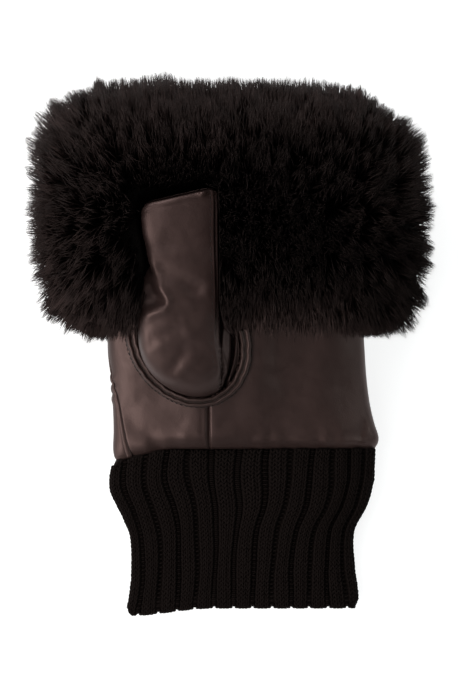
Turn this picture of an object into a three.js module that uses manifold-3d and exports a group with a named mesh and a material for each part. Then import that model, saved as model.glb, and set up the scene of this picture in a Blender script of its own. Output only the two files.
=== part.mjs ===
// A fur-trimmed fingerless glove for a left hand, lying on its back with the palm up.
// A ribbed knit cuff is sewn to a leather body of two panels, a leather thumb with an open end
// comes out of a hole in the palm, and a band of deep fur goes round the finger opening.
// Millimetres: X across the hand, Y from the wrist to the fingers, Z up. The glove rests on
// Z = 0 on the flattened underside of its fur and of its cuff.
import * as THREE from "three";
import { mergeVertices } from "three/addons/utils/BufferGeometryUtils.js";
import Module from "manifold-3d";

const wasm = await Module();
wasm.setup();

// Driving dimensions
const GAP = 0.35; // between pieces that are sewn together
const LEATHER = 1.4; // thickness of the leather with its thin lining
const HEM_Y = -43.6; // seam between the leather and the knit
const OPENING_Y = 80; // rim of the finger opening, deep in the fur
const HEM_DROP = 5.6; // how much lower the hem hangs at the thumb side
const CUFF_DROP = 3.4; // and the cuff's free edge
const RIBS = 26; // ribs round the knit cuff
const RIB_DEPTH = 1.4;
const KNIT = 3.4; // knit wall from the crest of a rib to the inside
const FUR_FROM = 28; // the fur band's lower edge
const FUR_TO = 81; // and its upper edge
const HAIR = 33.5; // hair length beyond the band
const HAIR_SKEW = 2; // longer at the thumb side, shorter at the other
const UNDERCOAT = 0.6; // share of the hair length that is a closed mass
const FLOOR_REACH = 20.5; // depth of the fur that is pressed flat under the glove
const BIG = 400;
const WELD = 1e-3; // vertices nearer than this are one

// Sections of the leather body's outer face: centre and half width across, and the lowest and
// highest points
const BODY = [
  { y: -50, centre: 6.9, half: 55.6, low: 0.9, high: 17.6 },
  { y: -43.6, centre: 7.1, half: 56.0, low: 0.5, high: 19.2 },
  { y: -39, centre: 7.2, half: 56.2, low: 0.4, high: 21.8 },
  { y: -33, centre: 6.4, half: 55.1, low: 1.0, high: 24.6 },
  { y: -25, centre: 5.3, half: 54.3, low: 2.6, high: 27.6 },
  { y: -14, centre: 4.2, half: 53.9, low: 5.2, high: 31.2 },
  { y: 0, centre: 3.1, half: 54.0, low: 9.4, high: 35.8 },
  { y: 15, centre: 2.6, half: 53.6, low: 13.4, high: 40.2 },
  { y: 30, centre: 2.3, half: 53.0, low: 16.2, high: 43.2 },
  { y: 55, centre: 2.0, half: 52.2, low: 17.4, high: 44.5 },
  { y: 80, centre: 2.0, half: 51.0, low: 17.4, high: 44.5 },
  { y: 86, centre: 2.0, half: 51.0, low: 17.4, high: 44.5 },
];
const BODY_SQUARE = 2.15; // 2 is an ellipse, more is squarer

// Angles of the two side seams: 0 is the outer edge, 90 the palm, 180 the thumb side's edge
const SEAMS = [
  { y: -50, outer: -41, inner: 143 },
  { y: -43.6, outer: -41, inner: 146 },
  { y: -33, outer: -42, inner: 156 },
  { y: -22, outer: -43, inner: 165 },
  { y: -10, outer: -44, inner: 176 },
  { y: 5, outer: -44, inner: 186 },
  { y: 80, outer: -44, inner: 190 },
  { y: 86, outer: -44, inner: 190 },
];

// Soft folds of the leather, each a ridge (up) or a dent (down) along a line
const PALM_FOLDS = [
  { fromX: 13, fromY: 8, toX: 9, toY: -34, width: 7, rise: 1.0 },
  { fromX: 30, fromY: 0, toX: 24, toY: -36, width: 9, rise: -0.9 },
  { fromX: -34, fromY: -40, toX: 2, toY: -38, width: 4, rise: 1.1 },
  { fromX: 14, fromY: -38, toX: 54, toY: -38, width: 4, rise: 1.3 },
  { fromX: -44, fromY: -28, toX: -30, toY: -40, width: 4, rise: -1.0 },
];
const BACK_FOLDS = [
  { fromX: -16, fromY: -24, toX: -26, toY: -42, width: 3.5, rise: -1.1 },
  { fromX: -6, fromY: -24, toX: -14, toY: -42, width: 5, rise: 0.8 },
  { fromX: -42, fromY: -7.4, toX: 42, toY: -7.4, width: 1.7, rise: -0.8 },
  { fromX: -42, fromY: -11.8, toX: 42, toY: -11.8, width: 1.7, rise: -0.8 },
  { fromX: -42, fromY: -16.2, toX: 42, toY: -16.2, width: 1.7, rise: -0.8 },
  { fromX: -42, fromY: -20.6, toX: 42, toY: -20.6, width: 1.7, rise: -0.8 },
];
const THUMB_FOLDS = [
  { fromX: -37, fromY: 27, toX: -26, toY: 17, width: 3.2, rise: -2.4 },
  { fromX: -36, fromY: 11, toX: -25, toY: 16, width: 3.2, rise: 1.4 },
  { fromX: -12, fromY: 6, toX: -22, toY: -6, width: 3.0, rise: -1.6 },
  { fromX: -24, fromY: 34, toX: -10, toY: 24, width: 4.5, rise: -1.1 },
];

// Sections of the knit cuff over the crests of its ribs
const CUFF = [
  { y: -110.6, centre: 6.4, half: 49.0, low: -0.5, high: 15.2 },
  { y: -94, centre: 6.0, half: 47.6, low: -0.5, high: 14.6 },
  { y: -78, centre: 5.8, half: 47.9, low: -0.5, high: 14.8 },
  { y: -68, centre: 6.6, half: 52.2, low: -0.5, high: 16.0 },
  { y: -57, centre: 6.2, half: 55.4, low: -0.5, high: 17.8 },
  { y: -43.95, centre: 6.2, half: 56.2, low: -0.3, high: 18.8 },
];
const CUFF_SQUARE = 2.8;

// The thumb hole in the palm, an oval that leans to the thumb side
const HOLE = { x: -17, y: 2.7, long: 26, short: 20.5, lean: 118 };
const WELT_WIDTH = 3.4;
const WELT_ENDS = 200; // degrees of the hole's edge that the welt goes round

// Sections of the thumb from the hole to its open end. The front faces up, the back lies on
// the palm; follow is the share of the hole's own outline, lift its height over the palm
const THUMB = [
  { frontY: -21.4, frontZ: 27.0, backY: 27.0, backZ: 41.3, left: -38.2, right: 4.2, follow: 1, lift: -0.9 },
  { frontY: -20.8, frontZ: 31.5, backY: 27.2, backZ: 43.4, left: -38.2, right: 3.2, follow: 0.8, lift: 2.2 },
  { frontY: -17.8, frontZ: 38.5, backY: 28.4, backZ: 45.2, left: -38.2, right: 0.2, follow: 0.35, lift: 6 },
  { frontY: -10.5, frontZ: 45.2, backY: 30.5, backZ: 46.4, left: -38.0, right: -2.6, follow: 0.1, lift: 9 },
  { frontY: 0, frontZ: 50.2, backY: 33.0, backZ: 47.2, left: -37.6, right: -3.8, follow: 0, lift: 0 },
  { frontY: 12, frontZ: 55.2, backY: 36.0, backZ: 47.6, left: -36.6, right: -4.0, follow: 0, lift: 0 },
  { frontY: 24, frontZ: 58.8, backY: 40.0, backZ: 48.2, left: -34.3, right: -4.4, follow: 0, lift: 0 },
  { frontY: 35, frontZ: 61.2, backY: 44.5, backZ: 48.9, left: -34.5, right: -4.9, follow: 0, lift: 0 },
  { frontY: 46, frontZ: 63.0, backY: 50.5, backZ: 49.6, left: -36.0, right: -5.4, follow: 0, lift: 0 },
  { frontY: 55.5, frontZ: 64.3, backY: 58.0, backZ: 50.2, left: -36.6, right: -5.9, follow: 0, lift: 0 },
  { frontY: 62, frontZ: 65.1, backY: 63.5, backZ: 50.6, left: -36.7, right: -6.4, follow: 0, lift: 0 },
];
const THUMB_COLUMNS = 24;
const THUMB_SLANT = 0.23; // the open end is cut at a slant
const THUMB_SEAM = 0.7; // the seam stands out along the thumb's outer side
const VALLEY_TOP = 130;

const LOCKS_AROUND = 54;
const LOCK_ROWS = 13; // across the fur band
const FAN_LOW = -80;
const FAN_HIGH = 84;

// Share of the full hair length. Here y is the angle by which the hair fans, in degrees
const HAIR_SHARE = [
  { y: -80, share: 0.74 },
  { y: -64, share: 0.93 },
  { y: -46, share: 1.05 },
  { y: -15, share: 1.0 },
  { y: 20, share: 1.0 },
  { y: 44, share: 1.14 },
  { y: 64, share: 1.04 },
  { y: 84, share: 0.97 },
];

const { clamp, degToRad, lerp, smoothstep } = THREE.MathUtils;

// The row of a table at a place between its rows, on a smooth curve through them
function rowAt(table, y) {
  const last = table.length - 1;
  let i = 0;
  while (i < last - 1 && table[i + 1].y <= y) i += 1;
  const span = table[i + 1].y - table[i].y;
  const t = clamp((y - table[i].y) / span, 0, 1);
  const slope = (at, column) => {
    const before = table[Math.max(at - 1, 0)];
    const after = table[Math.min(at + 1, last)];
    return (after[column] - before[column]) / (after.y - before.y);
  };
  const row = {};
  for (const column of Object.keys(table[i])) {
    const straight = table[i + 1][column] - table[i][column];
    const start = slope(i, column) * span;
    const end = slope(i + 1, column) * span;
    const bend = t * (1 - t) * ((1 - t) * (start - straight) + t * (straight - end));
    row[column] = table[i][column] + straight * t + bend;
  }
  return row;
}

// A point of a flattened ring, taken in by inset
function ringPoint(row, angle, square, inset = 0) {
  const power = 2 / square;
  const [c, s] = [Math.cos(angle), Math.sin(angle)];
  const rise = (row.high - row.low) / 2 - inset;
  const x = row.centre + (row.half - inset) * Math.sign(c) * Math.abs(c) ** power;
  const z = (row.high + row.low) / 2 + rise * Math.sign(s) * Math.abs(s) ** power;
  return new THREE.Vector3(x, row.y, z);
}

// Height that a table of folds adds at a place
function foldRise(folds, x, y) {
  let rise = 0;
  for (const fold of folds) {
    const [runX, runY] = [fold.toX - fold.fromX, fold.toY - fold.fromY];
    const along = ((x - fold.fromX) * runX + (y - fold.fromY) * runY) / (runX ** 2 + runY ** 2);
    const t = clamp(along, 0, 1);
    const away = Math.hypot(x - fold.fromX - runX * t, y - fold.fromY - runY * t);
    rise += fold.rise * Math.exp(-((away / fold.width) ** 2));
  }
  return rise;
}

const hemDrop = (x) => HEM_DROP * (1 - smoothstep(x, -52, -22));
const cuffDrop = (x) => CUFF_DROP * (1 - smoothstep(x, -44, -6));

// Height of the palm's outer face over a place
function palmTop(x, y) {
  const row = rowAt(BODY, y);
  const across = Math.min(Math.abs((x - row.centre) / row.half), 1);
  const rise = (row.high - row.low) / 2;
  const dome = (1 - across ** BODY_SQUARE) ** (1 / BODY_SQUARE);
  return (row.high + row.low) / 2 + rise * dome + foldRise(PALM_FOLDS, x, y);
}

// Builds a geometry from vertices and triangles, turned so that its faces point out
function geometryOf(points, triangles) {
  let volume = 0;
  const cross = new THREE.Vector3();
  for (const [a, b, c] of triangles) {
    volume += points[a].dot(cross.crossVectors(points[b], points[c]));
  }
  const index = volume < 0 ? triangles.map(([a, b, c]) => [a, c, b]) : triangles;
  return new THREE.BufferGeometry().setFromPoints(points).setIndex(index.flat());
}

// Two triangles for each cell between two rings of points
function bands(rings, from, to) {
  const count = rings[0].length;
  const cells = [];
  for (let j = 0; j < count; j += 1) {
    const next = (j + 1) % count;
    const [a, b] = [from * count + j, from * count + next];
    const [c, d] = [to * count + next, to * count + j];
    cells.push([a, b, c], [a, c, d]);
  }
  return cells;
}

// A hoop: the rings go along the outer face and back along the inner one
function hoop(rings) {
  const triangles = rings.flatMap((_, i) => bands(rings, i, (i + 1) % rings.length));
  return geometryOf(rings.flat(), triangles);
}

// A loft with closed ends. Each end is a strip between the two halves of its ring
function loft(rings) {
  const count = rings[0].length;
  const triangles = rings.slice(1).flatMap((_, i) => bands(rings, i, i + 1));
  const base = (rings.length - 1) * count;
  for (let j = 0; j < count / 2 - 1; j += 1) {
    const [a, b, c, d] = [j, j + 1, count - 2 - j, count - 1 - j];
    triangles.push([a, c, b], [a, d, c]);
    triangles.push([base + a, base + b, base + c], [base + a, base + c, base + d]);
  }
  return geometryOf(rings.flat(), triangles);
}

function solidOf(geometry) {
  const bare = geometry.clone();
  bare.deleteAttribute("normal");
  bare.deleteAttribute("uv");
  const merged = mergeVertices(bare, WELD);
  const vertProperties = merged.attributes.position.array;
  const triVerts = new Uint32Array(merged.index.array);
  return new wasm.Manifold(new wasm.Mesh({ numProp: 3, vertProperties, triVerts }));
}

// The largest body of a solid, without the crumbs and the bubbles that a cut leaves
function largestOf(solid) {
  const [body] = solid.decompose().sort((a, b) => b.volume() - a.volume());
  const mesh = body.getMesh();
  const position = new THREE.BufferAttribute(new Float32Array(mesh.vertProperties), 3);
  return new THREE.BufferGeometry()
    .setAttribute("position", position)
    .setIndex(new THREE.BufferAttribute(mesh.triVerts, 1));
}

// A bubble that hangs on by an edge comes off once near vertices are merged
const geometryFrom = (solid) => largestOf(solidOf(largestOf(solid)));

const spread = (count, from, to) =>
  Array.from({ length: count }, (_, i) => lerp(from, to, i / (count - 1)));

// Leather body

const PALM_ROWS = [HEM_Y, -38, -31, -22, -12, 0, 14, 30, 55, OPENING_Y];
const SHIRRED_ROWS = spread(9, -22.8, -5.2); // a row in each dent and on each roll between
const BACK_ROWS = [HEM_Y, -38, -30, ...SHIRRED_ROWS, 6, 20, 36, 58, OPENING_Y];

function bodyPoint(y, angle, inset) {
  const point = ringPoint(rowAt(BODY, y), angle, BODY_SQUARE, inset);
  const side = Math.sin(angle);
  const folds = side > 0 ? PALM_FOLDS : BACK_FOLDS;
  const soften = smoothstep(Math.abs(side), 0.25, 0.6);
  point.z += Math.sign(side) * soften * foldRise(folds, point.x, y);
  const nearHem = 1 - smoothstep(y, HEM_Y, -22);
  point.y -= hemDrop(point.x) * nearHem;
  return point;
}

// A panel of the body between two seam angles
function panelGeometry(placesY, columns, startAt, endAt) {
  const rings = placesY.map((y) => {
    const seams = rowAt(SEAMS, y);
    const angles = spread(columns, degToRad(startAt(seams)), degToRad(endAt(seams)));
    const outer = angles.map((angle) => bodyPoint(y, angle, 0));
    const inner = angles.map((angle) => bodyPoint(y, angle, LEATHER));
    return [...outer, ...inner.reverse()];
  });
  return loft(rings);
}

// A point of the thumb hole's edge, with 0 at its outer side and 90 towards the wrist
function holeEdge(angle, offset) {
  const [x, y] = [Math.cos(angle), -Math.sin(angle)];
  const lean = degToRad(HOLE.lean);
  const long = (x * Math.cos(lean) + y * Math.sin(lean)) / HOLE.long;
  const short = (y * Math.cos(lean) - x * Math.sin(lean)) / HOLE.short;
  const radius = 1 / Math.hypot(long, short) + offset;
  return new THREE.Vector2(HOLE.x + x * radius, HOLE.y + y * radius);
}

const HOLE_STEPS = 44;
const SEAM_X = -8.6; // the palm is closed by a seam from the hole down to the hem
const SEAM_DEPTH = 0.7;
const PALM_COLUMNS = 30;
const BACK_COLUMNS = 18;
const OUTER_GAP = 0.3; // degrees that each panel keeps from the seam at the outer edge
const INNER_GAP = 0.9; // and from the one at the thumb side

function palmPanel() {
  const whole = panelGeometry(
    PALM_ROWS,
    PALM_COLUMNS,
    (seams) => seams.outer + OUTER_GAP,
    (seams) => seams.inner - INNER_GAP,
  );
  const edge = Array.from({ length: HOLE_STEPS }, (_, i) =>
    holeEdge((-2 * Math.PI * i) / HOLE_STEPS, 0),
  );
  const punch = new THREE.ExtrudeGeometry(new THREE.Shape(edge), {
    depth: 50,
    bevelEnabled: false,
  }).translate(0, 0, 18);
  const groove = loft(
    spread(5, HOLE.y - HOLE.long - 2, HEM_Y - 4).map((y) => {
      const z = palmTop(SEAM_X, Math.max(y, HEM_Y));
      return [
        new THREE.Vector3(SEAM_X - 0.1, y, z - SEAM_DEPTH),
        new THREE.Vector3(SEAM_X + 0.1, y, z - SEAM_DEPTH),
        new THREE.Vector3(SEAM_X + 1, y, z + 2),
        new THREE.Vector3(SEAM_X - 1, y, z + 2),
      ];
    }),
  );
  return geometryFrom(solidOf(whole).subtract(solidOf(punch)).subtract(solidOf(groove)));
}

function backPanel() {
  return panelGeometry(
    BACK_ROWS,
    BACK_COLUMNS,
    (seams) => seams.inner + INNER_GAP,
    (seams) => 360 + seams.outer - OUTER_GAP,
  );
}

// The welt that is sewn round the lower part of the thumb hole: a strip with two rolls
function thumbWelt() {
  const seat = 0.5; // over the palm
  const profile = [
    { out: 0.2, up: 0 },
    { out: 0.25, up: 0.9 },
    { out: 0.9, up: 1.25 },
    { out: 1.8, up: 0.75 },
    { out: 2.6, up: 1.1 },
    { out: WELT_WIDTH, up: 0.6 },
    { out: WELT_WIDTH, up: 0 },
    { out: 1.8, up: 0 },
  ];
  const middle = 90;
  const angles = spread(26, middle - WELT_ENDS / 2, middle + WELT_ENDS / 2);
  const rings = angles.map((degrees) =>
    profile.map(({ out, up }) => {
      const place = holeEdge(degToRad(degrees), out);
      return new THREE.Vector3(place.x, place.y, palmTop(place.x, place.y) + seat + up);
    }),
  );
  return loft(rings);
}

// Thumb

function thumbPoint(row, angle, inset) {
  const [c, s] = [Math.cos(angle), Math.sin(angle)];
  const seam = angle === 0 && inset <= 0 ? THUMB_SEAM : 0;
  const half = (row.right - row.left) / 2;
  const tall = Math.hypot(row.frontY - row.backY, row.frontZ - row.backZ) / 2;
  const wide = (half - inset + seam) * c;
  const high = (1 - inset / tall) * s;
  const x = (row.left + row.right) / 2 + wide;
  let y = (row.frontY + row.backY) / 2 + ((row.frontY - row.backY) / 2) * high;
  let z = (row.frontZ + row.backZ) / 2 + ((row.frontZ - row.backZ) / 2) * high;
  y += THUMB_SLANT * wide * (1 - row.follow) * smoothstep(y, 38, 62);
  if (s > 0) z += s * foldRise(THUMB_FOLDS, x, y) * (1 - row.follow);
  const onHole = holeEdge(angle, -GAP - inset);
  const seat = palmTop(onHole.x, onHole.y) + row.lift;
  return new THREE.Vector3(
    lerp(x, onHole.x, row.follow),
    lerp(y, onHole.y, row.follow),
    lerp(z, seat, row.follow),
  );
}

function thumbRing(row, inset) {
  return Array.from({ length: THUMB_COLUMNS }, (_, j) =>
    thumbPoint(row, (2 * Math.PI * j) / THUMB_COLUMNS, inset),
  );
}

function thumb() {
  const outer = THUMB.map((row) => thumbRing(row, 0));
  const inner = THUMB.map((row) => thumbRing(row, LEATHER)).reverse();
  return hoop([...outer, ...inner]);
}

// The room that the thumb takes out of the fur: the thumb itself, and a valley open above it
function thumbRoom() {
  const clear = 0.45;
  const flare = 1.5;
  const beyondTip = 4;
  const overPalm = 24; // how far the valley runs on towards the wrist
  const moved = (row, by) => ({ ...row, frontY: row.frontY + by, backY: row.backY + by });
  const above = THUMB.filter((row) => row.follow < 0.5);
  const start = moved(above[0], -overPalm);
  const end = moved(above[above.length - 1], beyondTip);
  const body = loft([...THUMB, end].map((row) => thumbRing(row, -clear)));
  const valley = [start, ...above, moved(end, beyondTip / 2)].map((row) => {
    const y = (row.frontY + row.backY) / 2;
    const z = (row.frontZ + row.backZ) / 2;
    const [left, right] = [row.left - clear, row.right + clear + THUMB_SEAM];
    return [
      new THREE.Vector3(left, y, z),
      new THREE.Vector3(right, y, z),
      new THREE.Vector3(right + flare, y, VALLEY_TOP),
      new THREE.Vector3(left - flare, y, VALLEY_TOP),
    ];
  });
  return solidOf(body).add(solidOf(loft(valley)));
}

// Knit cuff

// Angles that divide a flattened ring into even steps along its edge
function evenAngles(shares, pointAt) {
  const samples = 720;
  const lengths = [0];
  let before = pointAt(0);
  for (let i = 1; i <= samples; i += 1) {
    const point = pointAt((2 * Math.PI * i) / samples);
    lengths.push(lengths[i - 1] + point.distanceTo(before));
    before = point;
  }
  return shares.map((share) => {
    const wanted = share * lengths[samples];
    const i = Math.max(lengths.findIndex((length) => length >= wanted), 1);
    const part = (wanted - lengths[i - 1]) / (lengths[i] - lengths[i - 1]);
    return (2 * Math.PI * (i - 1 + part)) / samples;
  });
}

function knitCuff() {
  const profile = [
    { share: 0, inset: RIB_DEPTH },
    { share: 0.3, inset: 0 },
    { share: 0.7, inset: 0 },
  ];
  const columns = Array.from({ length: RIBS }, (_, rib) =>
    profile.map(({ share, inset }) => ({ share: (rib + share) / RIBS, inset })),
  ).flat();
  const length = HEM_Y - CUFF[0].y;
  const scallop = 0.8;
  const rings = CUFF.map((row) => {
    const pointAt = (angle) => ringPoint(row, angle, CUFF_SQUARE);
    const angles = evenAngles(columns.map((column) => column.share), pointAt);
    const nearHem = clamp((row.y - CUFF[0].y) / length, 0, 1);
    const settle = (point, inset) => {
      const drop = lerp(cuffDrop(point.x), hemDrop(point.x), nearHem);
      const notch = row === CUFF[0] && inset === RIB_DEPTH ? scallop : 0;
      point.y += notch - drop;
      point.z = Math.max(point.z, 0);
      return point;
    };
    return {
      outer: columns.map(({ inset }, j) =>
        settle(ringPoint(row, angles[j], CUFF_SQUARE, inset), inset),
      ),
      inner: columns.map((_, j) => settle(ringPoint(row, angles[j], CUFF_SQUARE, KNIT), KNIT)),
    };
  });
  const inside = rings.map((ring) => ring.inner).reverse();
  return hoop([...rings.map((ring) => ring.outer), ...inside]);
}

// Fur band

// Where hair that fans by an angle grows, on the band round the body, and which way it points
function hairAt(angle, fan) {
  const share = (fan - FAN_LOW) / (FAN_HIGH - FAN_LOW);
  const row = rowAt(BODY, lerp(FUR_FROM, FUR_TO, share));
  const root = ringPoint(row, angle, BODY_SQUARE, 0);
  const rise = (row.high - row.low) / 2;
  const out = new THREE.Vector3(Math.cos(angle) / row.half, 0, Math.sin(angle) / rise);
  const lean = degToRad(fan);
  const along = out.normalize().multiplyScalar(Math.cos(lean));
  along.y = Math.sin(lean);
  const length = (HAIR - HAIR_SKEW * Math.cos(angle)) * rowAt(HAIR_SHARE, fan).share;
  return { root, along, length };
}

// How deep a part of the fur is: pressed flat under the glove, full elsewhere
function depthAt(angle, full) {
  return lerp(full, FLOOR_REACH, smoothstep(-Math.sin(angle), 0.2, 0.95));
}

// A repeatable number from -1 to 1 for a lock
function scatter(a, b) {
  const value = Math.sin(a * 127.1 + b * 311.7) * 43758.5453;
  return 2 * (value - Math.floor(value)) - 1;
}

// The pelt: a closed mass whose outer face is all tapered locks, each a pyramid of four faces
// with its feet in the creases between locks
function furPelt() {
  const evenly = (offset) =>
    evenAngles(
      Array.from({ length: LOCKS_AROUND }, (_, j) => (j + offset) / LOCKS_AROUND),
      (angle) => {
        const { root, along, length } = hairAt(angle, 0);
        return root.addScaledVector(along, length / 2);
      },
    );
  const [creases, crowns] = [evenly(0), evenly(0.5)];
  const fans = spread(LOCK_ROWS + 1, FAN_LOW, FAN_HIGH);
  const feet = fans.map((fan, i) =>
    creases.map((angle, j) => {
      const { root, along, length } = hairAt(angle, fan + 2.5 * scatter(i, j));
      const depth = depthAt(angle, length * UNDERCOAT) + 1.2 * scatter(j, i);
      return root.addScaledVector(along, depth);
    }),
  );
  const tips = fans.slice(1).map((fan, i) =>
    crowns.map((angle, j) => {
      const middle = (fan + fans[i]) / 2 + 4 * scatter(i + 31, j);
      const { root, along, length } = hairAt(angle + 0.02 * scatter(j + 17, i), middle);
      const reach = length * (0.98 + 0.06 * scatter(i, j + 53));
      return root.addScaledVector(along, depthAt(angle, reach));
    }),
  );
  const buried = 3; // cut away again by the body
  const inner = [FUR_TO, FUR_FROM].map((y) =>
    creases.map((angle) => ringPoint(rowAt(BODY, y), angle, BODY_SQUARE, buried)),
  );
  const rings = [...feet, ...inner];
  const lastFoot = feet.length - 1;
  const backing = [lastFoot, lastFoot + 1, lastFoot + 2].flatMap((i) =>
    bands(rings, i, (i + 1) % rings.length),
  );
  const firstTip = rings.length * LOCKS_AROUND;
  const locks = tips.flatMap((row, i) =>
    row.flatMap((_, j) => {
      const next = (j + 1) % LOCKS_AROUND;
      const tip = firstTip + i * LOCKS_AROUND + j;
      const [a, b] = [i * LOCKS_AROUND + j, i * LOCKS_AROUND + next];
      const [c, d] = [b + LOCKS_AROUND, a + LOCKS_AROUND];
      return [[a, b, tip], [b, c, tip], [c, d, tip], [d, a, tip]];
    }),
  );
  return geometryOf([...rings.flat(), ...tips.flat()], [...backing, ...locks]);
}

function furTrim() {
  const room = 0.6; // between the fur's skin and the leather
  const columns = 40;
  const angles = Array.from({ length: columns }, (_, j) => (2 * Math.PI * j) / columns);
  const bodyRings = [-24, -12, 0, 14, 30, 55, OPENING_Y, FUR_TO + HAIR].map((y) =>
    angles.map((angle) => {
      const point = ringPoint(rowAt(BODY, Math.min(y, 86)), angle, BODY_SQUARE, -room);
      point.y = y;
      return point;
    }),
  );
  const floor = new THREE.BoxGeometry(BIG, BIG, BIG).translate(0, 0, -BIG / 2);
  return geometryFrom(
    solidOf(furPelt())
      .subtract(solidOf(loft(bodyRings)))
      .subtract(thumbRoom())
      .subtract(solidOf(floor)),
  );
}

// Assembly

const leather = new THREE.MeshStandardMaterial({
  color: 0x3c302d,
  roughness: 0.42,
  metalness: 0,
});
const thumbLeather = leather.clone();
thumbLeather.color.set(0x463a37);
const weltLeather = leather.clone();
weltLeather.color.set(0x2e2523);
const knit = new THREE.MeshStandardMaterial({
  color: 0x141212,
  roughness: 0.95,
  metalness: 0,
});
const fur = new THREE.MeshStandardMaterial({
  color: 0x1c1613,
  roughness: 0.8,
  metalness: 0,
});

const glove = new THREE.Group();

function addPiece(name, geometry, material) {
  const mesh = new THREE.Mesh(geometry, material);
  mesh.name = name;
  glove.add(mesh);
}

addPiece("palm_panel", palmPanel(), leather);
addPiece("back_panel", backPanel(), leather);
addPiece("thumb", thumb(), thumbLeather);
addPiece("thumb_welt", thumbWelt(), weltLeather);
addPiece("knit_cuff", knitCuff(), knit);
addPiece("fur_trim", furTrim(), fur);

// The frame's origin is under the middle of the glove, on the surface that it rests on
const box = new THREE.Box3().setFromObject(glove);
const middle = box.getCenter(new THREE.Vector3());
glove.position.set(-middle.x, -middle.y, -box.min.z);

export default glove;
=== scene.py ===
# %% [markdown]
# # A fur-trimmed fingerless glove
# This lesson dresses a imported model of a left-hand glove that lies on its back. The model is
# a fixed frame: a leather palm and back, a thumb, a welt round the thumb hole, a ribbed knit
# cuff and a band of deep fur. Each gets a fine mesh in the same place, and a finish made of
# shader nodes. Lengths are in millimetres until a piece is done, and in metres in its mesh.

# %% Load the frame
from math import atan2, cos, hypot, pi, radians, sin

import bmesh
import bpy
import numpy as np
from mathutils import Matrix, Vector, noise


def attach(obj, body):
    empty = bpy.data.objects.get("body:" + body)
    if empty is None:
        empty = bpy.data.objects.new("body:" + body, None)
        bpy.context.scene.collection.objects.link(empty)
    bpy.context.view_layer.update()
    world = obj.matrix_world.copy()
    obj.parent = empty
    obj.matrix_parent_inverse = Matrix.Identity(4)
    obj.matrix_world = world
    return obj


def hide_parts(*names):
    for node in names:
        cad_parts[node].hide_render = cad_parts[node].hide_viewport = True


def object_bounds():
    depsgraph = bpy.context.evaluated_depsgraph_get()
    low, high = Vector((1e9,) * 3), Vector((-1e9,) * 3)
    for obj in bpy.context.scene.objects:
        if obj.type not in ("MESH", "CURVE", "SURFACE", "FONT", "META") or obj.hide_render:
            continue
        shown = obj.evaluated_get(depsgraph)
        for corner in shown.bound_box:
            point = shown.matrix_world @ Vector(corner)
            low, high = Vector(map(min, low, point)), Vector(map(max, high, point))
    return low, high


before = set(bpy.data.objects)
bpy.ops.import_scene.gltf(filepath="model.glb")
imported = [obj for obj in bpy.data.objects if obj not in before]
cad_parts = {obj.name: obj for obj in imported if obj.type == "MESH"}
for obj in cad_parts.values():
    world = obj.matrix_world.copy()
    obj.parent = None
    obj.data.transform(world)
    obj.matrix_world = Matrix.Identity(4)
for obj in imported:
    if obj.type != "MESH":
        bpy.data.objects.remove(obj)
cad_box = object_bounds()
print("the CAD box is", [round(float(side) * 1000) for side in cad_box[1] - cad_box[0]], "mm")

# %% [markdown]
# ## The camera, the floor and the light
# The glove is shown from straight above. A long lens from four metres away keeps the deep fur
# from looking larger than the flat cuff. One big light overhead would turn the dark leather
# grey, because leather mirrors what is over it. So large soft lights stand round the glove,
# the strongest two at the thumb side, and only slopes that face one of them shine.

# %% Camera, floor and lights
MM = 0.001
LENS, SENSOR = 500.0, 36.0
VIEW_HEIGHT = 0.292  # metres of the scene that the picture's long side shows
FLOOR_SIZE = 6.0

scene = bpy.context.scene
middle = (cad_box[0] + cad_box[1]) / 2
camera = bpy.data.objects.new("camera", bpy.data.cameras.new("camera"))
camera.data.lens = LENS
camera.data.sensor_width = SENSOR
camera.data.clip_end = 50
camera.location = (middle.x, middle.y, VIEW_HEIGHT * LENS / SENSOR)
scene.collection.objects.link(camera)
scene.camera = camera

LIGHTS = {  # place and size in metres, power in watts, and colour
    "fingers_and_thumb": ((-1.1, 1.5, 1.3), 1.2, 30, (1, 1, 1)),
    "wrist_and_thumb": ((-1.55, -0.95, 1.05), 1.0, 30, (1, 0.95, 0.92)),
    "fingers_side": ((0.2, 1.8, 1.3), 1.2, 15, (1, 1, 1)),
    "outer_side": ((1.6, -0.2, 1.3), 1.2, 10, (0.86, 1, 0.98)),
    "overhead": ((-0.9, 0.1, 2.0), 1.2, 9, (1, 1, 1)),
    "wrist_side": ((-0.3, -1.7, 1.4), 1.2, 3, (1, 1, 1)),
}
for name, (place, size, power, colour) in LIGHTS.items():
    data = bpy.data.lights.new(name, "AREA")
    data.size = size
    data.energy = power
    data.color = colour
    light = bpy.data.objects.new(name, data)
    light.location = place
    light.rotation_euler = (-Vector(place)).to_track_quat("-Z", "Y").to_euler()
    scene.collection.objects.link(light)

world = bpy.data.worlds.new("studio")
world.use_nodes = True
sky = world.node_tree.nodes["Background"].inputs
sky["Color"].default_value = (0.96, 0.97, 1, 1)
sky["Strength"].default_value = 0.02
scene.world = world
scene.view_settings.view_transform = "Standard"

floor_bm = bmesh.new()
bmesh.ops.create_grid(floor_bm, x_segments=1, y_segments=1, size=FLOOR_SIZE / 2)
floor = bpy.data.objects.new("floor", bpy.data.meshes.new("floor"))
floor_bm.to_mesh(floor.data)
floor_bm.free()
scene.collection.objects.link(floor)
paint = bpy.data.materials.new("pale_floor")
paint.use_nodes = True
paint_shader = paint.node_tree.nodes["Principled BSDF"].inputs
paint_shader["Base Color"].default_value = (0.45, 0.45, 0.45, 1)
paint_shader["Roughness"].default_value = 0.9
paint_shader["Emission Color"].default_value = (1, 1, 1, 1)
paint_shader["Emission Strength"].default_value = 0.83
floor.data.materials.append(paint)

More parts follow.
